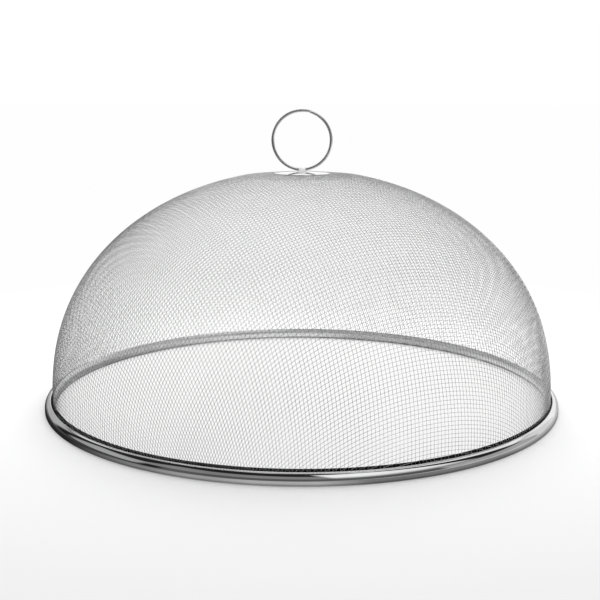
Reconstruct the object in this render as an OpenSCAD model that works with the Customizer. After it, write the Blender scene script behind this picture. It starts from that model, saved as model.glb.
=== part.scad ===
// Buffet food cover: a woven steel mesh dome held in a rolled steel rim, lifted by a folding wire ring.
// Millimetres. Origin at the centre of the face the rim rests on, +Z up, front of the cover towards -Y.

/* [Mesh dome] */
// Outside radius of the dome where it enters the rim
dome_r = 169.7; // [165:0.1:169.7]
// Rise of the dome's curve above the rim
dome_rise = 149.2; // [120:0.1:170]
// Fullness of the shoulder, 1 for a plain ellipse and less for a squarer one
dome_fullness = 0.9; // [0.8:0.01:1]
// How far the crown is pressed down below the top of the curve
crown_press = 2; // [1.5:0.1:3]
// Radius of curvature of the pressed crown
crown_bend = 480; // [300:10:800]
// Thickness of the mesh sheet
mesh_t = 0.5; // [0.4:0.05:0.7]
// Depth of the mesh edge inside the rim
mesh_tuck = 4.4; // [3:0.1:5]
// Openings across the dome each way: a coarse grid stands for the fine weave
mesh_cells = 12; // [8:2:12]
// Width of the grid's bars, in the wire's own proportion to its pitch
mesh_bar = 4.3; // [4:0.1:7]
// Turn of the weave about the dome's axis
weave_turn = 26.5; // [0:0.5:45]

/* [Rim] */
// Outside radius of the rim
rim_r = 175; // [175:0.1:180]
// Height of the rim's shoulder
rim_h = 7; // [6.8:0.1:10]
// Sheet thickness of the rim and the inner band
sheet_t = 0.6; // [0.4:0.05:0.65]
// Radius of the rim's rounded shoulder
shoulder_r = 4.9; // [4.5:0.1:4.9]
// Radius on which the rim's edge curls down beside the mesh
lip_r = 0.7; // [0.7:0.05:0.9]
// Height of the inner band's top edge
band_top = 8; // [7.5:0.1:9]
// Bulge of the inner band towards the middle of the cover
band_bulge = 1.6; // [1:0.1:2]
// Diameter of the hoop wire inside the rim
rim_wire_d = 3.4; // [2:0.1:3.6]

/* [Handle] */
// Centreline radius of the ring
ring_r = 19.5; // [14:0.1:24]
// Diameter of the ring's wire
ring_wire_d = 2; // [1:0.1:2.4]
// Angle of the ring's butt seam above +X
seam_angle = 74; // [20:1:160]
// Opening of the butt seam in degrees of the ring
seam_gap = 0.6; // [0.3:0.1:2]
// Gap between the upright ring and the rosette
ring_lift = 0.35; // [0.3:0.05:1]
// Width of the strap that holds the ring
strap_w = 4.6; // [3:0.1:5]
// Thickness of the strap
strap_t = 0.9; // [0.6:0.1:1.2]
// Room between the ring's wire and the strap's eye
eye_room = 0.25; // [0.2:0.05:0.4]
// Length of each bent strap foot
strap_foot = 5; // [3:0.1:8]

/* [Crown plates] */
// Radius of the rosette
rosette_r = 18.55; // [15:0.05:22]
// Height of the rosette
rosette_h = 1.35; // [1.2:0.05:2.5]
// Radius of curvature of the rosette's top
rosette_bend = 170; // [150:5:300]
// Edge rounding of the rosette
rosette_edge = 0.3; // [0.2:0.05:0.35]
// Radius of the washer under the crown
washer_r = 13; // [9:0.1:15]
// Thickness of the washer
washer_t = 1; // [0.6:0.1:1.5]

/* [Hidden] */
$fn = 96;

steel = [0.78, 0.79, 0.8];
bright_steel = [0.86, 0.87, 0.88];
wire_steel = [0.7, 0.71, 0.72];

seat_gap = 0.05;      // between pieces that are clamped together
band_gap = 0.15;      // between the mesh edge and the band behind it
slot_gap = 0.2;       // around the strap's legs in each plate
profile_steps = 18;   // along the dome from rim to crown
mesh_hem = 3;         // closed border of the mesh above the rim and around the rosette
arc_steps = 16;       // along each rounded bend
foot_bend = 0.5;      // radius between the rim's wall and foot
lip_from = 74;        // angle on the rim's shoulder at which its edge starts to curl down

crown_z = rim_h + dome_rise - crown_press;
mesh_in_r = dome_r - mesh_t;

rosette_z = crown_height(rosette_r) + seat_gap;
rosette_top = rosette_z + rosette_h;
washer_top = crown_height(washer_r) - mesh_t - seat_gap;
pivot_z = rosette_top + ring_lift + ring_wire_d / 2;
eye_r = ring_wire_d / 2 + eye_room;
leg_out = eye_r + strap_t;
foot_top = washer_top - washer_t - seat_gap;

// Height of the pressed crown at a distance from the axis
function crown_height(r) = crown_z - r * r / (2 * crown_bend);

// Point of the dome's outer line, from the rim at 0 degrees to the crown at 90
function dome_point(t) =
    let (r = dome_r * cos(t),
         z = rim_h + dome_rise * pow(sin(t), dome_fullness))
    [r, min(z, crown_height(r))];

// Points of a circular bend about c
function bend(c, r, from, to) =
    [for (i = [0:arc_steps]) let (a = from + (to - from) * i / arc_steps) c + r * [cos(a), sin(a)]];

// Points moved a distance d towards the inside of a line that runs up and inwards
function inset_line(line, d) =
    let (last = len(line) - 1)
    [for (i = [0:last])
        let (along = line[min(i + 1, last)] - line[max(i - 1, 0)],
             normal = i == last ? [0, 1] : i == 0 ? [1, 0] : [along.y, -along.x] / norm(along))
        line[i] - d * normal];

function reversed(line) = [for (i = [len(line) - 1:-1:0]) line[i]];

function after_first(line) = [for (i = [1:len(line) - 1]) line[i]];

dome_line = [for (i = [0:profile_steps]) dome_point(90 * i / profile_steps)];

// Length along the dome from the crown down to one of its points
function run_to(i) = i == profile_steps ? 0 : run_to(i + 1) + norm(dome_line[i] - dome_line[i + 1]);

dome_runs = [for (i = [profile_steps:-1:0]) [run_to(i), dome_line[i].x]];

// Radius of the dome at a length along it from the crown
function radius_at(run) = lookup(run, dome_runs);

// Opening for the strap's legs, through any plate at the crown
module strap_slot(low, high) {
    size = [strap_w, 2 * leg_out] + 2 * slot_gap * [1, 1];
    translate([0, 0, (low + high) / 2])
        cube([size.x, size.y, high - low], center = true);
}

// Openings of the mesh in one quarter of the dome. Each way the bars are equally spaced along the curve,
// at a pitch that brings the bars of the two ways down to the rim side by side.
module mesh_openings() {
    rows = mesh_cells / 2;
    pitch = run_to(0) / (rows + 0.5);
    near = [for (i = [0:rows - 1]) radius_at(i * pitch + mesh_bar / 2)];
    far = [for (i = [1:rows]) i == rows ? rim_r : radius_at(i * pitch - mesh_bar / 2)];
    for (i = [0:rows - 1], j = [0:rows - 1])
        if (norm([near[i], near[j]]) < mesh_in_r)
            translate([near[i], near[j], rim_h + mesh_hem])
                cube([far[i] - near[i], far[j] - near[j], crown_z]);
}

// One sheet of woven wire, drawn over a form and tucked straight down into the rim
module mesh_dome() {
    inner = inset_line(dome_line, mesh_t);
    tuck_z = rim_h - mesh_tuck;
    color(wire_steel)
        difference() {
            rotate_extrude()
                polygon(concat([[dome_r, tuck_z]], dome_line, reversed(inner), [[mesh_in_r, tuck_z]]));
            difference() {
                for (turn = [0:90:270]) rotate(weave_turn + turn) mesh_openings();
                cylinder(r = rosette_r + mesh_hem, h = 2 * crown_z);
            }
            strap_slot(crown_z - 5, crown_z + 5);
        }
}

// Strip rolled into a round shoulder with its edge curled down beside the mesh, a low wall and a foot
module outer_rim() {
    shoulder_c = [rim_r - shoulder_r, rim_h - shoulder_r];
    lip_c = shoulder_c + (shoulder_r - lip_r) * [cos(lip_from), sin(lip_from)];
    foot_in = mesh_in_r - 1;
    color(bright_steel)
        rotate_extrude()
            polygon(concat(
                [[foot_in, 0]],
                bend([rim_r - foot_bend, foot_bend], foot_bend, -90, 0),
                bend(shoulder_c, shoulder_r, 0, lip_from),
                after_first(bend(lip_c, lip_r, lip_from, 180)),
                bend(lip_c, lip_r - sheet_t, 180, lip_from),
                after_first(bend(shoulder_c, shoulder_r - sheet_t, lip_from, 0)),
                [[rim_r - sheet_t, sheet_t], [foot_in, sheet_t]]));
}

// Half-round band that backs the mesh edge from the inside
module inner_band() {
    band_out = mesh_in_r - band_gap;
    low = sheet_t + seat_gap;
    mid_z = (band_top + low) / 2;
    half = (band_top - low) / 2;
    face_r = (half * half + band_bulge * band_bulge) / (2 * band_bulge);
    centre = [band_out - band_bulge + face_r, mid_z];
    color(bright_steel)
        rotate_extrude()
            intersection() {
                difference() {
                    translate(centre) circle(face_r);
                    translate(centre) circle(face_r - sheet_t);
                }
                translate([band_out - 2 * band_bulge, low]) square([2 * band_bulge, 2 * half]);
            }
}

// Hoop wire that lies in the corner of the rim's wall and foot
module rim_wire() {
    seat = sheet_t + seat_gap + rim_wire_d / 2;
    color(steel)
        rotate_extrude()
            translate([rim_r - seat, seat]) circle(d = rim_wire_d);
}

// Domed cap pressed from sheet, open underneath
module rosette() {
    flat_r = rosette_r - rosette_edge;
    shoulder = rosette_top - flat_r * flat_r / (2 * rosette_bend);
    edge_c = [flat_r, shoulder - rosette_edge];
    lip_r = rosette_r - sheet_t;
    top_line = [for (i = [0:arc_steps]) let (r = flat_r * i / arc_steps)
        [r, rosette_top - r * r / (2 * rosette_bend)]];
    under_line = [for (i = [arc_steps:-1:0]) let (r = lip_r * i / arc_steps)
        [r, max(crown_height(r) + seat_gap, rosette_top - sheet_t - r * r / (2 * rosette_bend))]];
    color(bright_steel)
        difference() {
            rotate_extrude()
                polygon(concat(top_line, bend(edge_c, rosette_edge, 85, 0),
                               [[rosette_r, rosette_z]], under_line));
            strap_slot(rosette_z - 1, rosette_top + 1);
        }
}

// Flat washer against the inside of the mesh
module backing_washer() {
    color(steel)
        difference() {
            translate([0, 0, washer_top - washer_t]) cylinder(r = washer_r, h = washer_t);
            strap_slot(washer_top - washer_t - 1, washer_top + 1);
        }
}

// Strip folded over the ring, its legs through the crown and its feet bent out under the washer
module ring_strap() {
    leg_h = pivot_z - foot_top + strap_t;
    foot_span = 2 * (leg_out + strap_foot);
    color(bright_steel)
        translate([-strap_w / 2, 0, pivot_z])
            rotate([90, 0, 90])
                linear_extrude(strap_w)
                    difference() {
                        union() {
                            circle(leg_out);
                            translate([-leg_out, -leg_h]) square([2 * leg_out, leg_h]);
                            translate([-foot_span / 2, -leg_h]) square([foot_span, strap_t]);
                        }
                        circle(eye_r);
                        translate([-eye_r, -2 * leg_h]) square([2 * eye_r, 2 * leg_h]);
                    }
}

// Wire ring standing in the XZ plane, its ends butted at the seam
module handle_ring() {
    color(bright_steel)
        translate([0, 0, pivot_z + ring_r])
            rotate([90, 0, 0])
                rotate([0, 0, seam_angle + seam_gap / 2])
                    rotate_extrude(angle = 360 - seam_gap)
                        translate([ring_r, 0]) circle(d = ring_wire_d);
}

mesh_dome();
outer_rim();
inner_band();
rim_wire();
rosette();
backing_washer();
ring_strap();
handle_ring();
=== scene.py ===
import math

import bpy
import numpy as np
from mathutils import Euler, Matrix, Vector


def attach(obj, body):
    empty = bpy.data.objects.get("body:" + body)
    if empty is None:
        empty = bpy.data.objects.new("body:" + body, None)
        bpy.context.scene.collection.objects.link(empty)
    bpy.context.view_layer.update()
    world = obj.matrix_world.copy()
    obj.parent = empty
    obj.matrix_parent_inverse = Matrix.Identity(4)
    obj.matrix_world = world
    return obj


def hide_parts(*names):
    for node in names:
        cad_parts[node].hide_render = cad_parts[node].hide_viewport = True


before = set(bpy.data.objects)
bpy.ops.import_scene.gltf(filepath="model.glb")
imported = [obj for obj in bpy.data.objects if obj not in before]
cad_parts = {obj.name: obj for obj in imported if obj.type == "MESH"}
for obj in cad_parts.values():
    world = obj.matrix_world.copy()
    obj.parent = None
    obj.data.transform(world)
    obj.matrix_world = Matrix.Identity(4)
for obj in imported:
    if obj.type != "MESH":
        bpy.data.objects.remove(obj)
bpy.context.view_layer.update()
mm = 0.001
sameSpot = 0.004 * mm   # points closer than this are merged
print("frame loaded:", ", ".join(sorted(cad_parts)))


# selection and finishing, used by every piece

def clearSelection():
    if bpy.context.object and bpy.context.object.mode != "OBJECT":
        bpy.ops.object.mode_set(mode="OBJECT")
    bpy.ops.object.select_all(action="DESELECT")


def takeUp(piece):
    clearSelection()
    piece.select_set(True)
    bpy.context.view_layer.objects.active = piece


def mergeDoubles():
    bpy.ops.mesh.select_all(action="SELECT")
    bpy.ops.mesh.remove_doubles(threshold=sameSpot)


def mergeAndTurnOut():
    # doubles go first, so that the faces agree on which side is outside
    mergeDoubles()
    bpy.ops.mesh.normals_make_consistent(inside=False)


def drawLoop(name, points):
    # one vertex, moved to the first point and extruded through the others and back to it
    clearSelection()
    bpy.ops.mesh.primitive_plane_add(size=mm, location=(0, 0, 0))
    piece = bpy.context.object
    piece.name = name
    piece.data.name = name
    bpy.ops.object.mode_set(mode="EDIT")
    bpy.ops.mesh.select_all(action="SELECT")
    bpy.ops.mesh.merge(type="CENTER")
    bpy.ops.transform.translate(value=Vector(points[0]))
    for before, after in zip(points, [*points[1:], points[0]]):
        bpy.ops.mesh.extrude_region_move(TRANSFORM_OT_translate={"value": Vector(after) - Vector(before)})
    mergeDoubles()
    return piece


def spinLoop(name, outline, steps):
    # a closed outline in the XZ plane, turned once round the dome's axis
    piece = drawLoop(name, [(r * mm, 0, z * mm) for r, z in outline])
    bpy.ops.mesh.spin(steps=steps, angle=2 * math.pi, center=(0, 0, 0), axis=(0, 0, 1))
    mergeAndTurnOut()
    bpy.ops.object.mode_set(mode="OBJECT")
    return piece


def arc(centre, radius, start, end, count):
    # points of a bend in a flat outline, angles in degrees from its first axis
    turns = np.radians(np.linspace(start, end, count + 1))
    return [(centre[0] + radius * math.cos(t), centre[1] + radius * math.sin(t)) for t in turns]


def applyModifier(piece, kind, **settings):
    takeUp(piece)
    modifier = piece.modifiers.new(kind.title(), kind)
    for key, value in settings.items():
        setattr(modifier, key, value)
    bpy.ops.object.modifier_apply(modifier=modifier.name)


edgeRound = {"segments": 3, "sharperThan": 60}


def roundEdges(piece, width):
    applyModifier(piece, "BEVEL", width=width * mm, segments=edgeRound["segments"], limit_method="ANGLE",
                  angle_limit=math.radians(edgeRound["sharperThan"]))


def smoothed(piece, degrees):
    takeUp(piece)
    bpy.ops.object.shade_smooth_by_angle(angle=math.radians(degrees))


def settle(piece, body, slot, material, *nodes):
    # its finish, the body it moves with, and the solids it is shown in place of
    piece.data.materials.clear()
    piece.data.materials.append(material)
    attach(piece, body)
    if nodes:
        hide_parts(*nodes)


# nodes, used by the finishes, the floor and the world

def feed(tree, socket, value):
    # another node's output is linked, a plain value is set
    if isinstance(value, bpy.types.NodeSocket):
        tree.links.new(value, socket)
    else:
        socket.default_value = value


def addMath(tree, operation, *values):
    node = tree.nodes.new("ShaderNodeMath")
    node.operation = operation
    for socket, value in zip(node.inputs, values):
        feed(tree, socket, value)
    return node.outputs["Value"]


def addVector(tree, operation, *values):
    node = tree.nodes.new("ShaderNodeVectorMath")
    node.operation = operation
    for socket, value in zip(node.inputs, values):
        feed(tree, socket, value)
    return node.outputs["Value" if operation in ("LENGTH", "DOT_PRODUCT") else "Vector"]


def flatten(tree, vector):
    # the same vector without its height
    return addVector(tree, "MULTIPLY", vector, (1, 1, 0))


def splitPlace(tree, vector):
    node = tree.nodes.new("ShaderNodeSeparateXYZ")
    tree.links.new(vector, node.inputs["Vector"])
    return [node.outputs[axis] for axis in "XYZ"]


def addNoise(tree, vector, scale, detail):
    noise = tree.nodes.new("ShaderNodeTexNoise")
    noise.inputs["Scale"].default_value = scale
    noise.inputs["Detail"].default_value = detail
    tree.links.new(vector, noise.inputs["Vector"])
    return noise.outputs["Fac"]


def addRange(tree, value, span, target=(0, 1), interpolation="LINEAR"):
    # the span from its first to its last value, carried over to the target
    node = tree.nodes.new("ShaderNodeMapRange")
    node.interpolation_type = interpolation
    for socket, number in zip(("From Min", "From Max", "To Min", "To Max"), (*span, *target)):
        node.inputs[socket].default_value = number
    tree.links.new(value, node.inputs["Value"])
    return node.outputs["Result"]


def addCurve(tree, value, stops):
    # straight lines through the stops, level outside them
    first, last = stops[0][0], stops[-1][0]
    node = tree.nodes.new("ShaderNodeFloatCurve")
    curve = node.mapping.curves[0]
    while len(curve.points) < len(stops):
        curve.points.new(0.5, 0.5)
    for point, (at, height) in zip(curve.points, stops):
        point.location = ((at - first) / (last - first), height)
        point.handle_type = "VECTOR"
    node.mapping.update()
    tree.links.new(addRange(tree, value, (first, last)), node.inputs["Value"])
    return node.outputs["Value"]


def mixTones(tree, factor, one, two):
    mix = tree.nodes.new("ShaderNodeMix")
    mix.data_type = "RGBA"
    feed(tree, mix.inputs["Factor"], factor)
    feed(tree, mix.inputs["A"], one)
    feed(tree, mix.inputs["B"], two)
    return mix.outputs["Result"]


# finishes

def steelGrey(level, blue=0.005):
    # steel is a touch cooler than a plain grey
    return (level, level, level + blue, 1)


def startSteel(name, metal):
    material = bpy.data.materials.new(name)
    material.use_nodes = True
    shader = material.node_tree.nodes["Principled BSDF"]
    shader.inputs["Metallic"].default_value = metal
    return material, material.node_tree, shader


wireFinish = {"dark": steelGrey(0.68), "light": steelGrey(0.84), "metal": 1.0, "roughness": (0.16, 0.28),
              "patch": 60.0, "streak": 900.0, "detail": 2.0, "span": (0.3, 0.7)}


def makeWireSteel():
    material, tree, shader = startSteel("wovenSteelWire", wireFinish["metal"])
    place = tree.nodes.new("ShaderNodeTexCoord").outputs["Object"]
    patches = addNoise(tree, place, wireFinish["patch"], wireFinish["detail"])
    patches = addRange(tree, patches, wireFinish["span"])
    tone = mixTones(tree, patches, wireFinish["dark"], wireFinish["light"])
    tree.links.new(tone, shader.inputs["Base Color"])
    streaks = addNoise(tree, place, wireFinish["streak"], wireFinish["detail"])
    streaks = addRange(tree, streaks, wireFinish["span"], wireFinish["roughness"])
    tree.links.new(streaks, shader.inputs["Roughness"])
    return material


grain = {"lineDetail": 2.0, "smudgeDetail": 4.0, "smudgeSpan": (0.35, 0.65), "roughSpan": (0.12, 0.4),
         "lineStrength": 0.15, "backSpan": (0.0, 0.01)}


def turnedPlace(tree, place, across, along):
    # a vector that runs fast across a turned piece and slowly along its turn
    x, _, z = splitPlace(tree, place)
    outFromAxis = addVector(tree, "LENGTH", flatten(tree, place))
    joined = tree.nodes.new("ShaderNodeCombineXYZ")
    for socket, source, scale in (("X", outFromAxis, across), ("Y", z, across), ("Z", x, along)):
        tree.links.new(addMath(tree, "MULTIPLY", source, scale), joined.inputs[socket])
    return joined.outputs["Vector"]


def turnedOut(tree):
    # 1 on the side that faces away from the dome's axis, 0 on the side that faces it; it places painted
    # shade
    spot = tree.nodes.new("ShaderNodeTexCoord")
    facing = addVector(tree, "DOT_PRODUCT", flatten(tree, spot.outputs["Object"]), spot.outputs["Normal"])
    return addRange(tree, facing, grain["backSpan"])


def makeRolledSteel(name, finish):
    # fine lines that follow the turn of the piece, and faint smudges
    material, tree, shader = startSteel(name, finish["metal"])
    place = tree.nodes.new("ShaderNodeTexCoord").outputs["Object"]
    turned = turnedPlace(tree, place, finish["lines"], finish["along"])
    lines = addNoise(tree, turned, 1.0, grain["lineDetail"])
    smudges = addNoise(tree, place, finish["smudge"], grain["smudgeDetail"])
    tone = mixTones(tree, addRange(tree, smudges, grain["smudgeSpan"]), finish["dark"], finish["light"])
    if "back" in finish:   # painted shade: nearly black where it faces away from the middle of the cover, for the shadowed channel behind the mesh
        tone = mixTones(tree, turnedOut(tree), tone, finish["back"])
    tree.links.new(tone, shader.inputs["Base Color"])
    worn = addMath(tree, "MULTIPLY", lines, smudges)
    worn = addRange(tree, worn, grain["roughSpan"], finish["roughness"])
    tree.links.new(worn, shader.inputs["Roughness"])
    bump = tree.nodes.new("ShaderNodeBump")
    bump.inputs["Strength"].default_value = grain["lineStrength"]
    bump.inputs["Distance"].default_value = finish["lineDepth"]
    tree.links.new(lines, bump.inputs["Height"])
    tree.links.new(bump.outputs["Normal"], shader.inputs["Normal"])
    return material


rimFinish = {"dark": steelGrey(0.66), "light": steelGrey(0.8), "metal": 1.0, "roughness": (0.03, 0.08),
             "lines": 2500.0, "along": 30.0, "smudge": 25.0, "lineDepth": 0.002 * mm}
# the band is a paler, duller copy of the rim's steel, painted light that lifts its inner face, and its back
# is painted shade
bandFinish = {**rimFinish, "dark": steelGrey(0.86), "light": steelGrey(0.94), "metal": 0.6,
              "roughness": (0.26, 0.38), "back": steelGrey(0.04, 0.002)}
capFinish = {"dark": steelGrey(0.78), "light": steelGrey(0.88), "metal": 1.0, "roughness": (0.04, 0.1),
             "lines": 3000.0, "along": 60.0, "smudge": 60.0, "lineDepth": 0.001 * mm}
ringFinish = {"dark": steelGrey(0.8), "light": steelGrey(0.94), "metal": 1.0, "roughness": (0.26, 0.4),
              "lines": 1800.0, "along": 200.0, "smudge": 90.0, "lineDepth": 0.002 * mm}
plainFinish = {"dark": steelGrey(0.52, 0.01), "light": steelGrey(0.66, 0.01), "metal": 1.0,
               "roughness": (0.2, 0.4), "lines": 1500.0, "along": 400.0, "smudge": 120.0,
               "lineDepth": 0.003 * mm}
# the strap is a paler copy of the plain steel, painted light standing in for the white reflection its neck
# shows
strapFinish = {**plainFinish, "dark": steelGrey(0.9), "light": steelGrey(0.96), "metal": 0.2,
               "roughness": (0.3, 0.45), "lineDepth": 0.002 * mm}

wireSteel = makeWireSteel()
rimSteel = makeRolledSteel("polishedRimSteel", rimFinish)
capSteel = makeRolledSteel("polishedCapSteel", capFinish)
ringSteel = makeRolledSteel("brightRingWire", ringFinish)
plainSteel = makeRolledSteel("plainSheetSteel", plainFinish)
bandSteel = makeRolledSteel("bandSteelPaintedLightAndShade", bandFinish)
strapSteel = makeRolledSteel("strapSteelPaintedPale", strapFinish)
print("finishes made")


# woven wire dome, in millimetres until its wires are laid

dome = {"radius": 169.7, "rise": 149.2, "fullness": 0.9, "rimHeight": 7.0, "crownPress": 2.0,
        "crownBend": 480.0, "inset": 0.25, "edgeEnd": -60.0, "tuckEnd": 2.7, "slotRadius": 3.1,
        "samples": 4001, "above": 200.0}
weave = {"pitch": 2.39, "wire": 0.23, "swing": 0.115, "azimuth": 26.5, "groups": 6, "reach": 124,
         "sides": 6, "fewest": 3, "edgePasses": 12, "cornerPasses": 25, "slopeStep": 0.05, "mapMargin": 0.1}
nearlyZero = 1e-9


def crownHeight(r):
    # the middle of the dome is pressed to a flatter bend
    peak = dome["rimHeight"] + dome["rise"] - dome["crownPress"]
    return peak - r * r / (2 * dome["crownBend"])


def domeSurface():
    # the sheet's middle line as distance from a point on the axis, by angle above the rim's top
    t = np.linspace(0, math.pi / 2, dome["samples"])
    r = dome["radius"] * np.cos(t)
    z = np.minimum(dome["rimHeight"] + dome["rise"] * np.sin(t) ** dome["fullness"], crownHeight(r))
    alongR, alongZ = np.gradient(r), np.gradient(z)
    length = np.hypot(alongR, alongZ)
    outR, outZ = alongZ / length, -alongR / length
    outR[0], outZ[0], outR[-1], outZ[-1] = 1, 0, 0, 1
    r = r - dome["inset"] * outR
    z = z - dome["inset"] * outZ
    r = np.concatenate([[r[0]], r])   # the edge runs straight down into the rim
    z = np.concatenate([[dome["edgeEnd"]], z])
    angle = np.arctan2(z - dome["rimHeight"], r)
    order = np.argsort(angle)
    return angle[order], np.hypot(z - dome["rimHeight"], r)[order]


surfaceAngle, surfaceReach = domeSurface()


def ontoDome(points):
    flat = np.hypot(points[..., 0], points[..., 1])
    angle = np.arctan2(points[..., 2] - dome["rimHeight"], flat)
    reach = np.interp(angle, surfaceAngle, surfaceReach)
    share = reach * np.cos(angle) / np.maximum(flat, nearlyZero)
    return np.stack([points[..., 0] * share, points[..., 1] * share,
                     dome["rimHeight"] + reach * np.sin(angle)], axis=-1)


def weaveQuarter():
    # square cloth pulled over the dome: every mesh keeps its side, only its corners give
    pitch, reach = weave["pitch"], weave["reach"]
    net = np.full((reach + 1, reach + 1, 3), np.nan)
    net[0, 0] = ontoDome(np.array([0.0, nearlyZero, dome["above"]]))
    for axis in (0, 1):
        here, step = net[0, 0], np.eye(3)[axis] * pitch
        for k in range(1, reach + 1):
            target = here + step
            for _ in range(weave["edgePasses"]):
                leap = ontoDome(target) - here
                target = here + leap * pitch / np.linalg.norm(leap)
            target = ontoDome(target)
            net[(k, 0) if axis == 0 else (0, k)] = target
            here, step = target, target - here
    for total in range(2, 2 * reach + 1):
        i = np.arange(max(1, total - reach), min(reach, total - 1) + 1)
        j = total - i
        one, two, corner = net[i, j - 1], net[i - 1, j], net[i - 1, j - 1]
        middle, across = (one + two) / 2, two - one
        width = np.linalg.norm(across, axis=-1, keepdims=True)
        across = across / width
        rest = np.sqrt(np.maximum(pitch ** 2 - width ** 2 / 4, nearlyZero))
        target = one + two - corner
        for _ in range(weave["cornerPasses"]):
            lean = ontoDome(target) - middle
            lean = lean - (lean * across).sum(-1, keepdims=True) * across
            target = middle + lean / np.linalg.norm(lean, axis=-1, keepdims=True) * rest
        net[i, j] = ontoDome(target)
    return net


def weaveDome():
    # the quarter turned into the other three, then the whole cloth turned to its angle on the rim
    quarter, reach = weaveQuarter(), weave["reach"]
    net = np.full((2 * reach + 1, 2 * reach + 1, 3), np.nan)
    i, j = np.meshgrid(np.arange(reach + 1), np.arange(reach + 1), indexing="ij")
    for turn, (row, column) in enumerate(((i, j), (-j, i), (-i, -j), (j, -i))):
        angle = math.radians(90 * turn + weave["azimuth"] - 90)
        x, y = quarter[..., 0], quarter[..., 1]
        net[row + reach, column + reach] = np.stack(
            [x * math.cos(angle) - y * math.sin(angle),
             x * math.sin(angle) + y * math.cos(angle), quarter[..., 2]], axis=-1)
    return net


def outwards(points):
    # direction out of the dome, from the slope of its middle line
    flat = np.maximum(np.hypot(points[..., 0], points[..., 1]), nearlyZero)
    radial = np.stack([points[..., 0] / flat, points[..., 1] / flat, np.zeros_like(flat)], axis=-1)
    angle = np.arctan2(points[..., 2] - dome["rimHeight"], flat)
    step = weave["slopeStep"] / flat.max()
    low, high = angle - step, angle + step
    lowReach = np.interp(low, surfaceAngle, surfaceReach)
    highReach = np.interp(high, surfaceAngle, surfaceReach)
    alongR = highReach * np.cos(high) - lowReach * np.cos(low)
    alongZ = highReach * np.sin(high) - lowReach * np.sin(low)
    length = np.hypot(alongR, alongZ)
    out = radial * (alongZ / length)[..., None]
    out[..., 2] = -alongR / length
    return out


def wireRuns(net, lift):
    # each row of crossings as one wire, broken at the rim and at the strap's slot
    kept = (net[..., 2] > dome["tuckEnd"]) & (np.hypot(net[..., 0], net[..., 1]) > dome["slotRadius"])
    runs = []
    for row in range(net.shape[0]):
        columns = np.flatnonzero(kept[row])
        for part in np.split(columns, np.flatnonzero(np.diff(columns) > 1) + 1):
            if part.size < weave["fewest"]:
                continue
            path = np.empty((2 * part.size - 1, 3))
            path[0::2] = net[row, part] + lift[row, part]
            path[1::2] = (net[row, part[1:]] + net[row, part[:-1]]) / 2
            runs.append(path * mm)
    return runs


def unrollWires(piece, runs):
    # a map on which every wire lies unrolled in a strip of its own, with all cut ends in one strip above
    mesh, sides, count, margin = piece.data, weave["sides"], len(runs), weave["mapMargin"]
    corner = np.empty(len(mesh.loops), dtype=int)
    mesh.loops.foreach_get("vertex_index", corner)
    ringAt, side = corner // sides, corner % sides
    caps = 2 * count
    first = 3 * (sides - 2) * caps   # the cut ends come first, as fans of triangles
    turn = 2 * np.pi * side[:first] / sides
    endRadius = 0.5 - margin
    ends = np.column_stack([(ringAt[:first] + 0.5 + endRadius * np.cos(turn)) / caps,
                            count + 0.5 + endRadius * np.sin(turn)])
    wire = np.repeat(np.arange(count), [len(path) for path in runs])
    along = np.concatenate([np.linspace(0, 1, len(path)) for path in runs])
    across = side[first:].reshape(-1, 4)
    closing = across.max(axis=1, keepdims=True) == sides - 1
    across = np.where(closing & (across == 0), sides, across).ravel()
    at = ringAt[first:] - caps
    strips = np.column_stack([along[at], wire[at] + margin + (1 - 2 * margin) * across / sides])
    spots = np.concatenate([ends, strips]) / (1, count + 1)
    mesh.uv_layers.new(name="OFBake").data.foreach_set("uv", spots.ravel())


def layWires(name, runs):
    # one bevelled curve for a group of wires, made into tubes
    curve = bpy.data.curves.new(name, "CURVE")
    curve.dimensions = "3D"
    curve.bevel_depth = weave["wire"] / 2 * mm
    curve.bevel_resolution = (weave["sides"] - 4) // 2
    curve.use_fill_caps = True
    for path in runs:
        spline = curve.splines.new("POLY")
        spline.points.add(len(path) - 1)
        spline.points.foreach_set("co", np.column_stack([path, np.ones(len(path))]).ravel())
    piece = bpy.data.objects.new(name, curve)
    bpy.context.scene.collection.objects.link(piece)
    takeUp(piece)
    bpy.ops.object.convert(target="MESH")
    piece = bpy.context.object
    bpy.ops.object.shade_smooth()
    unrollWires(piece, runs)
    bpy.ops.object.mode_set(mode="EDIT")
    mergeAndTurnOut()
    bpy.ops.object.mode_set(mode="OBJECT")
    return piece


def makeMesh():
    net = weaveDome()
    count = np.arange(net.shape[0]) - weave["reach"]
    overUnder = np.where((count[:, None] + count[None, :]) % 2 == 0, 1.0, -1.0)
    lift = outwards(net) * (weave["swing"] * overUnder)[..., None]
    faces = 0
    for family, grid, offset in (("warp", net, lift),
                                 ("weft", net.transpose(1, 0, 2), -lift.transpose(1, 0, 2))):
        runs = wireRuns(grid, offset)
        sizes = np.cumsum([len(path) for path in runs])
        group = np.minimum((sizes - 1) * weave["groups"] // sizes[-1], weave["groups"] - 1)
        for k in range(weave["groups"]):
            piece = layWires(f"{family}Wires{k + 1}", [path for path, g in zip(runs, group) if g == k])
            settle(piece, "cover", "mesh_wire", wireSteel, "mesh_dome")
            faces += len(piece.data.polygons)
        print(family, "wires laid:", len(runs))
    print("mesh faces:", faces)


makeMesh()


# rim: rolled strip, and the half-round band behind the mesh edge

rim = {"radius": 175.0, "height": 7.0, "sheet": 0.6, "shoulder": 4.9, "footBend": 0.5, "footEdge": 168.2,
       "footRound": 0.15, "lip": 0.7, "lipFrom": 74.0, "steps": 480, "crease": 40,
       "footSteps": 6, "shoulderSteps": 36, "lipSteps": 12, "inLipSteps": 6,
       "inShoulderSteps": 16, "edgeSteps": 3}


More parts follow.
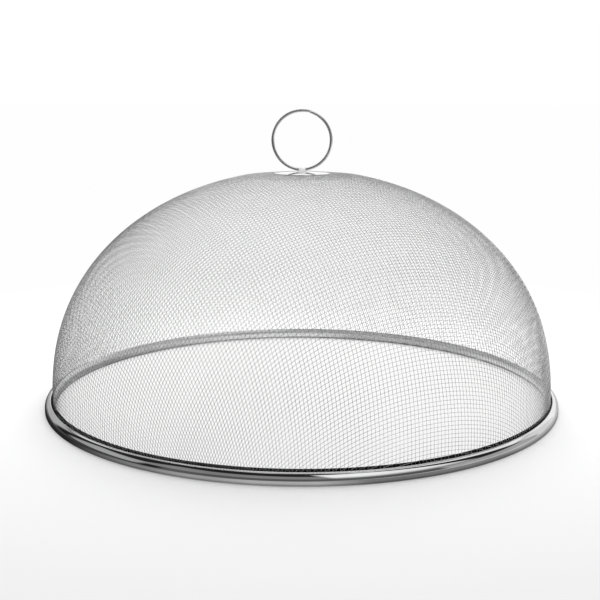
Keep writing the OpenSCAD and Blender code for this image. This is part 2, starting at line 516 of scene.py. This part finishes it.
def makeRim():
    sheet, lip, turn, edge = rim["sheet"], rim["lip"], rim["lipFrom"], rim["footRound"]
    shoulder = (rim["radius"] - rim["shoulder"], rim["height"] - rim["shoulder"])
    along = rim["shoulder"] - lip   # the edge curls down towards the mesh on a smaller bend
    curl = (shoulder[0] + along * math.cos(math.radians(turn)),
            shoulder[1] + along * math.sin(math.radians(turn)))
    heel = (rim["radius"] - rim["footBend"], rim["footBend"])
    footIn = rim["footEdge"] + edge
    outline = [(footIn, 0)]
    outline += arc(heel, rim["footBend"], -90, 0, rim["footSteps"])
    outline += arc(shoulder, rim["shoulder"], 0, turn, rim["shoulderSteps"])
    outline += arc(curl, lip, turn, 180, rim["lipSteps"])[1:]
    outline += arc(curl, lip - sheet, 180, turn, rim["inLipSteps"])
    outline += arc(shoulder, rim["shoulder"] - sheet, turn, 0, rim["inShoulderSteps"])[1:]
    outline += [(rim["radius"] - sheet, sheet)]
    outline += arc((footIn, sheet - edge), edge, 90, 180, rim["edgeSteps"])
    outline += arc((footIn, edge), edge, 180, 270, rim["edgeSteps"])[:-1]
    piece = spinLoop("rolledRim", outline, rim["steps"])
    smoothed(piece, rim["crease"])
    settle(piece, "cover", "polished_rim", rimSteel, "outer_rim")


band = {"outer": 169.05, "low": 0.65, "top": 8.0, "bulge": 1.6, "sheet": 0.6, "steps": 360, "crease": 40,
        "faceSteps": 24}


def makeBand():
    half = (band["top"] - band["low"]) / 2
    face = (half ** 2 + band["bulge"] ** 2) / (2 * band["bulge"])
    centre = (band["outer"] - band["bulge"] + face, band["low"] + half)
    inside = face - band["sheet"]
    spread, inSpread = (math.degrees(math.acos((face - band["bulge"]) / radius))
                        for radius in (face, inside))
    outline = arc(centre, face, 180 - spread, 180 + spread, band["faceSteps"])
    outline += arc(centre, inside, 180 + inSpread, 180 - inSpread, band["faceSteps"])
    piece = spinLoop("innerBand", outline, band["steps"])
    smoothed(piece, band["crease"])
    settle(piece, "cover", "polished_rim", bandSteel, "inner_band")


makeRim()
makeBand()
print("rim and band turned")


# crown: cap, washer, folded strap and ring

strap = {"width": 4.6, "thick": 0.9, "eye": 1.25, "pivot": 156.5916, "footTop": 152.42, "footLength": 5.0,
         "footBend": 0.4, "soleBend": 0.9, "edge": 0.12, "slotGap": 0.2, "slotDepth": 6.0, "crease": 40,
         "eyeSteps": 32, "inEyeSteps": 24, "footSteps": 6, "soleSteps": 8}


def cutSlot(piece, height):
    # opening for the strap's legs
    wide = strap["width"] + 2 * strap["slotGap"]
    deep = 2 * (strap["eye"] + strap["thick"] + strap["slotGap"])
    clearSelection()
    bpy.ops.mesh.primitive_cube_add(size=1, location=(0, 0, height * mm))
    cutter = bpy.context.object
    cutter.scale = (wide * mm, deep * mm, strap["slotDepth"] * mm)
    bpy.ops.object.transform_apply(location=True, rotation=True, scale=True)
    applyModifier(piece, "BOOLEAN", object=cutter, operation="DIFFERENCE", solver="EXACT")
    bpy.data.objects.remove(cutter)


cap = {"radius": 18.55, "low": 153.89, "top": 155.24, "bend": 170.0, "edge": 0.3, "edgeFrom": 80,
       "sheet": 0.6, "clear": 0.05, "steps": 192, "crease": 35, "faceSteps": 24, "edgeSteps": 8}


def capHeight(r):
    return cap["top"] - r * r / (2 * cap["bend"])


def makeCap():
    # its hollow side follows the face, but stays clear of the pressed crown under it
    flat = cap["radius"] - cap["edge"]
    inner = cap["radius"] - cap["sheet"]
    outline = [(r, capHeight(r)) for r in np.linspace(0, flat, cap["faceSteps"])]
    outline += arc((flat, capHeight(flat) - cap["edge"]), cap["edge"], cap["edgeFrom"], 0, cap["edgeSteps"])
    outline += [(cap["radius"], cap["low"])]
    outline += [(r, max(crownHeight(r) + cap["clear"], capHeight(r) - cap["sheet"]))
                for r in np.linspace(inner, 0, cap["faceSteps"])]
    piece = spinLoop("crownCap", outline, cap["steps"])
    cutSlot(piece, cap["top"])
    smoothed(piece, cap["crease"])
    settle(piece, "cover", "polished_cap", capSteel, "rosette")


washer = {"radius": 13.0, "low": 152.47, "top": 153.47, "edge": 0.15, "steps": 128, "crease": 35,
          "edgeSteps": 4}


def makeWasher():
    edge = washer["edge"]
    side = washer["radius"] - edge
    outline = [(0, washer["top"])]
    outline += arc((side, washer["top"] - edge), edge, 90, 0, washer["edgeSteps"])
    outline += arc((side, washer["low"] + edge), edge, 0, -90, washer["edgeSteps"])
    outline += [(0, washer["low"])]
    piece = spinLoop("crownWasher", outline, washer["steps"])
    cutSlot(piece, washer["low"])
    smoothed(piece, washer["crease"])
    settle(piece, "cover", "plain_steel", plainSteel, "backing_washer")


def makeStrap():
    # the folded strip's outline in the YZ plane, given its width along X
    inner, pivot, top = strap["eye"], strap["pivot"], strap["footTop"]
    outer = inner + strap["thick"]
    low = top - strap["thick"]
    reach = outer + strap["footLength"]
    foot, sole = strap["footBend"], strap["soleBend"]
    outline = arc((0, pivot), outer, 0, 180, strap["eyeSteps"])
    outline += arc((-outer - foot, top + foot), foot, 0, -90, strap["footSteps"])
    outline += [(-reach, top), (-reach, low)]
    outline += arc((-inner - sole, low + sole), sole, 270, 360, strap["soleSteps"])
    outline += arc((0, pivot), inner, 180, 0, strap["inEyeSteps"])
    outline += arc((inner + sole, low + sole), sole, 180, 270, strap["soleSteps"])
    outline += [(reach, low), (reach, top)]
    outline += arc((outer + foot, top + foot), foot, 270, 180, strap["footSteps"])
    side = -strap["width"] / 2 * mm
    piece = drawLoop("ringStrap", [(side, y * mm, z * mm) for y, z in outline])
    bpy.ops.mesh.edge_face_add()
    bpy.ops.mesh.extrude_region_move(TRANSFORM_OT_translate={"value": (strap["width"] * mm, 0, 0)})
    mergeAndTurnOut()
    bpy.ops.object.mode_set(mode="OBJECT")
    roundEdges(piece, strap["edge"])
    smoothed(piece, strap["crease"])
    settle(piece, "cover", "plain_steel", strapSteel, "ring_strap")


ring = {"radius": 19.5, "wire": 2.0, "seam": 74.0, "gap": 0.6, "step": 0.3, "stepReach": 24.0,
        "endRound": 0.12, "sides": 20, "turns": 240, "crease": 40}


def makeRing():
    # a wire circle spun round the ring's centre, left open at the seam
    middle = strap["pivot"] + ring["radius"]
    turn = math.radians(ring["seam"] + ring["gap"] / 2)
    wireOutline = arc((ring["radius"], 0), ring["wire"] / 2, 0, 360, ring["sides"])[:-1]
    piece = drawLoop("handleRing", [(r * math.cos(turn) * mm, y * mm, (middle + r * math.sin(turn)) * mm)
                                    for r, y in wireOutline])
    bpy.ops.mesh.edge_face_add()
    bpy.ops.mesh.spin(steps=ring["turns"], angle=math.radians(360 - ring["gap"]),
                      center=(0, 0, middle * mm), axis=(0, -1, 0))
    mergeAndTurnOut()
    bpy.ops.object.mode_set(mode="OBJECT")
    for vertex in piece.data.vertices:   # the end left of the seam springs outwards a little
        x, z = vertex.co.x, vertex.co.z - middle * mm
        away = (math.degrees(math.atan2(z, x)) - ring["seam"]) % 360
        share = max(0.0, 1 - away / ring["stepReach"]) ** 2
        length = math.hypot(x, z)
        vertex.co.x += x / length * share * ring["step"] * mm
        vertex.co.z += z / length * share * ring["step"] * mm
    roundEdges(piece, ring["endRound"])
    smoothed(piece, ring["crease"])
    settle(piece, "ring", "ring_wire", ringSteel, "handle_ring")


makeCap()
makeWasher()
makeStrap()
makeRing()
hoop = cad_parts["rim_wire"]   # hidden inside the rim, so the solid itself stays
hoop.data.materials.clear()
hoop.data.materials.append(plainSteel)
print("crown pieces made")


# floor, light and camera, in metres

floorFinish = {"size": 40.0,
               "shade": ((-0.3, 0.86), (-0.17, 0.9), (-0.05, 0.95), (0.12, 0.98), (0.4, 0.99)),
               "shadow": ((0.0, 0.12), (0.158, 0.12), (0.172, 0.8), (0.2, 0.8), (0.3, 0.25), (0.5, 0.0)),
               # near, nearSide, far and farSide are painted shade on the floor as the steel sees it
               "near": ((0.0, 0.95), (0.169, 0.95), (0.172, 0.15), (0.176, 0.3), (0.179, 0.6), (0.2, 0.6),
                        (0.27, 0.0)),
               "nearSide": ((-0.25, 0.2), (-0.175, 0.06), (-0.145, 0.06), (-0.12, 0.35), (-0.07, 0.8),
                            (-0.04, 1.0), (0.01, 1.0), (0.04, 0.4), (0.12, 0.5), (0.16, 1.0), (0.25, 1.0)),
               "far": ((0.0, 0.0), (0.2, 0.0), (0.27, 0.95), (1.6, 1.0), (2.6, 0.1)),
               "farSide": ((-0.8, 0.15), (-0.25, 0.2), (-0.04, 0.95), (0.1, 1.0), (0.8, 1.0)),
               "sideSlant": 0.7}


def makeFloor():
    clearSelection()
    bpy.ops.mesh.primitive_plane_add(size=floorFinish["size"], location=(0, 0, 0))
    floor = bpy.context.object
    floor.name = "studioFloor"
    material = bpy.data.materials.new("paleFloor")
    material.use_nodes = True
    tree = material.node_tree
    tree.nodes.clear()
    place = tree.nodes.new("ShaderNodeTexCoord").outputs["Object"]
    x, y, _ = splitPlace(tree, place)
    apart = addVector(tree, "LENGTH", place)
    level = addCurve(tree, y, floorFinish["shade"])   # painted light: paler towards the back, as a swept sheet of paper lit from behind
    diffuse = tree.nodes.new("ShaderNodeBsdfDiffuse")
    tree.links.new(level, diffuse.inputs["Color"])
    glow = tree.nodes.new("ShaderNodeEmission")
    tree.links.new(level, glow.inputs["Color"])
    path = tree.nodes.new("ShaderNodeLightPath")
    glossy = path.outputs["Is Glossy Ray"]
    # white paper for the camera, less so where a shadow lies
    lit = addCurve(tree, apart, floorFinish["shadow"])
    share = addMath(tree, "MULTIPLY", path.outputs["Is Camera Ray"], addMath(tree, "SUBTRACT", 1.0, lit))
    share = addMath(tree, "ADD", share, glossy)
    # painted shade for the steel only: it sees the floor darker beside the rim, as a painted contact
    # shadow, and on the left and just right of the middle
    slant = addMath(tree, "ADD", addMath(tree, "MULTIPLY", y, floorFinish["sideSlant"]), x)
    seen = 0.0
    for reach, side, across in (("near", "nearSide", x), ("far", "farSide", slant)):
        byReach = addCurve(tree, apart, floorFinish[reach])
        bySide = addCurve(tree, across, floorFinish[side])
        seen = addMath(tree, "ADD", addMath(tree, "MULTIPLY", byReach, bySide), seen)
    loss = addMath(tree, "MULTIPLY", glossy, addMath(tree, "SUBTRACT", 1.0, seen))
    tree.links.new(addMath(tree, "SUBTRACT", 1.0, loss), glow.inputs["Strength"])
    mix = tree.nodes.new("ShaderNodeMixShader")
    tree.links.new(share, mix.inputs["Fac"])
    tree.links.new(diffuse.outputs["BSDF"], mix.inputs[1])
    tree.links.new(glow.outputs["Emission"], mix.inputs[2])
    output = tree.nodes.new("ShaderNodeOutputMaterial")
    tree.links.new(mix.outputs["Shader"], output.inputs["Surface"])
    floor.data.materials.append(material)


# azimuth 0 is the front and 90 the right; low and high are heights above the horizon, all in degrees
panels = {
    "backdrop": {"azimuth": 170, "half": 55, "low": 30, "high": 80, "soft": 5, "level": 1.05},
    "backLow": {"azimuth": 168, "half": 33, "low": 2, "high": 34, "soft": 6, "softLow": 2, "level": 1.05},
    "backLeft": {"azimuth": 215, "half": 16, "low": 2, "high": 28, "soft": 4, "softLow": 2, "level": 0.5},
    "softbox": {"azimuth": 48, "half": 36, "low": 34, "high": 78, "soft": 4, "softLow": 18, "level": 1.1},
    "frontWall": {"azimuth": -34, "half": 46, "low": 24, "high": 57, "soft": 3, "level": 0.28},
    "frontLow": {"azimuth": 0, "half": 60, "low": -90, "high": 24, "soft": 3, "level": 0.12},
    "leftWall": {"azimuth": -93, "half": 22, "low": 8, "high": 38, "soft": 4, "level": 0.45},
    "rightWall": {"azimuth": 92, "half": 32, "low": -90, "high": 26, "soft": 4, "level": 0.45},
    "rightBack": {"azimuth": 130, "half": 14, "low": -90, "high": 30, "soft": 4, "level": 0.85},
}
roomLevel = 0.02   # between the panels


def softEdge(tree, value, at, soft):
    # 0 before the edge and 1 past it; a negative softness turns the two round
    span = (math.radians(at - soft), math.radians(at + soft))
    return addRange(tree, value, span, interpolation="SMOOTHSTEP")


def makeWorld():
    # a dark room with pale panels, each at its own azimuth and height; the camera sees white
    world = bpy.data.worlds.new("panelStudio")
    bpy.context.scene.world = world
    world.use_nodes = True
    tree = world.node_tree
    tree.nodes.clear()
    direction = tree.nodes.new("ShaderNodeTexCoord").outputs["Generated"]
    elevation = addMath(tree, "ARCSINE", splitPlace(tree, direction)[2])
    level = addVector(tree, "NORMALIZE", flatten(tree, direction))
    brightness = roomLevel
    for panel in panels.values():
        turn, soft = math.radians(panel["azimuth"]), panel["soft"]
        facing = addVector(tree, "DOT_PRODUCT", level, (math.sin(turn), -math.cos(turn), 0))
        within = softEdge(tree, addMath(tree, "ARCCOSINE", facing), panel["half"], -soft)
        below = softEdge(tree, elevation, panel["high"], -soft)
        above = softEdge(tree, elevation, panel["low"], panel.get("softLow", soft))
        shown = addMath(tree, "MULTIPLY", addMath(tree, "MULTIPLY", within, below), above)
        shown = addMath(tree, "MULTIPLY", shown, panel["level"])
        brightness = addMath(tree, "MAXIMUM", shown, brightness)
    path = tree.nodes.new("ShaderNodeLightPath")
    brightness = addMath(tree, "MAXIMUM", brightness, path.outputs["Is Camera Ray"])
    background = tree.nodes.new("ShaderNodeBackground")
    background.inputs["Color"].default_value = (1, 1, 1, 1)
    tree.links.new(brightness, background.inputs["Strength"])
    output = tree.nodes.new("ShaderNodeOutputWorld")
    tree.links.new(background.outputs["Background"], output.inputs["Surface"])


overheadLamp = {"place": (0, 1.0, 1.9), "aim": (0, 0, 0), "power": 55.0, "size": 2.6}
crownLamp = {"place": (0.1, -1.2, 0.45), "aim": (0, 0, 0.157), "power": 37.0, "degrees": 4.0, "blend": 0.5,
             "radius": 0.01}


def hangLamp(name, kind, lamp):
    data = bpy.data.lights.new(name, kind)
    data.energy = lamp["power"]
    holder = bpy.data.objects.new(name, data)
    bpy.context.scene.collection.objects.link(holder)
    holder.location = lamp["place"]
    holder.rotation_euler = (holder.location - Vector(lamp["aim"])).to_track_quat("Z", "Y").to_euler()
    holder.visible_glossy = False   # the polished steel shows panels and floor, but no lamps
    return data


def makeLamps():
    overhead = hangLamp("overheadLamp", "AREA", overheadLamp)   # lights the floor from above and behind
    overhead.shape = "SQUARE"
    overhead.size = overheadLamp["size"]
    fill = hangLamp("crownLamp", "SPOT", crownLamp)   # a narrow light on the strap
    fill.spot_size = math.radians(crownLamp["degrees"])
    fill.spot_blend = crownLamp["blend"]
    fill.shadow_soft_size = crownLamp["radius"]


photoView = {"place": (-0.0012, -0.698, 0.2066), "down": 11.30, "roll": 0.1, "pixels": 600, "focus": 1033.0,
             "sensor": 36.0, "nearest": 0.01}


def makeCamera():
    data = bpy.data.cameras.new("photoCamera")
    data.sensor_width = photoView["sensor"]
    data.lens = photoView["focus"] / photoView["pixels"] * photoView["sensor"]
    data.clip_start = photoView["nearest"]
    camera = bpy.data.objects.new("photoCamera", data)
    bpy.context.scene.collection.objects.link(camera)
    camera.location = photoView["place"]
    tilt = Euler((math.radians(90 - photoView["down"]), 0, 0)).to_matrix()
    camera.rotation_euler = (tilt @ Matrix.Rotation(math.radians(photoView["roll"]), 3, "Z")).to_euler()
    bpy.context.scene.camera = camera


makeFloor()
makeWorld()
makeLamps()
makeCamera()
bpy.context.scene.view_settings.view_transform = "Standard"
print("floor, light and camera set")
